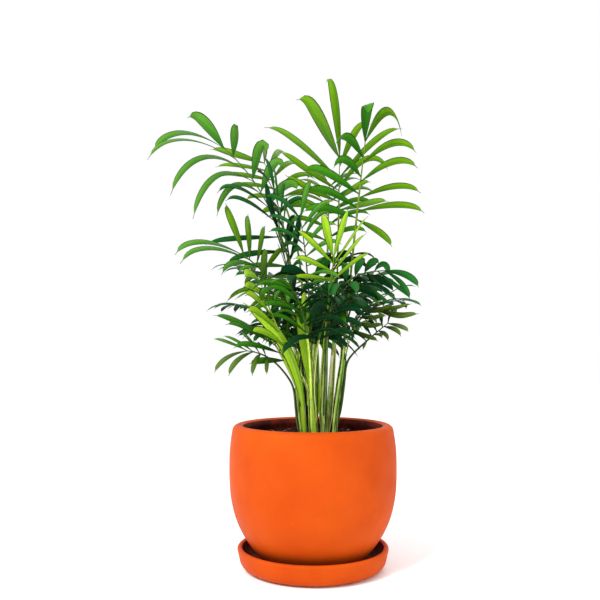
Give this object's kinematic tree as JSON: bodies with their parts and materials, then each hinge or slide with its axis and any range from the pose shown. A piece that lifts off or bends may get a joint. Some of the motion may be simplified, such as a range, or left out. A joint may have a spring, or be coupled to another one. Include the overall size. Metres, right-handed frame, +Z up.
{
  "type": "parlour palm",
  "caption": "Young parlour palm: a clump of slim green canes with arching feather fronds, in a round-bellied terracotta pot standing in its saucer.",
  "frame": {"origin": "middle of the saucer's flat underside", "axes": "+Z up, +X to the plant's right as seen from its front, -Y to its front"},
  "size_m": [0.261, 0.282, 0.5027],
  "materials": {
    "terracotta": "matte fired clay, satin outside",
    "potting_mix": "moist crumbs",
    "cane": "smooth green stem",
    "leaf": "satin leaf"
  },
  "bodies": {
    "root": {"saucer": "terracotta", "pot": "terracotta", "soil": "potting_mix", "cane_1": "cane", "cane_2": "cane", "cane_3": "cane", "cane_4": "cane", "cane_5": "cane", "cane_6": "cane", "cane_7": "cane", "cane_8": "cane", "cane_9": "cane", "cane_10": "cane", "cane_11": "cane", "frond_front_tall": "leaf", "frond_back_tall": "leaf", "frond_left_arch": "leaf", "frond_back_left_tall": "leaf", "frond_left_middle": "leaf", "frond_right_arch": "leaf", "frond_left_low": "leaf", "frond_left_lime": "leaf", "frond_left_dark": "leaf", "frond_young_fan": "leaf", "frond_middle_upright": "leaf", "frond_right_low": "leaf", "frond_right_small": "leaf", "frond_back_upright": "leaf", "frond_back_far": "leaf", "frond_back_right_far": "leaf", "frond_back_left_low": "leaf", "frond_back_low": "leaf", "frond_back_right": "leaf", "frond_front_middle": "leaf", "frond_front_right": "leaf", "frond_front_left": "leaf", "frond_front_low": "leaf", "frond_left_short": "leaf", "frond_right_short": "leaf", "frond_inner_right": "leaf", "frond_inner_left": "leaf", "frond_inner_middle": "leaf"}
  },
  "joints": []
}
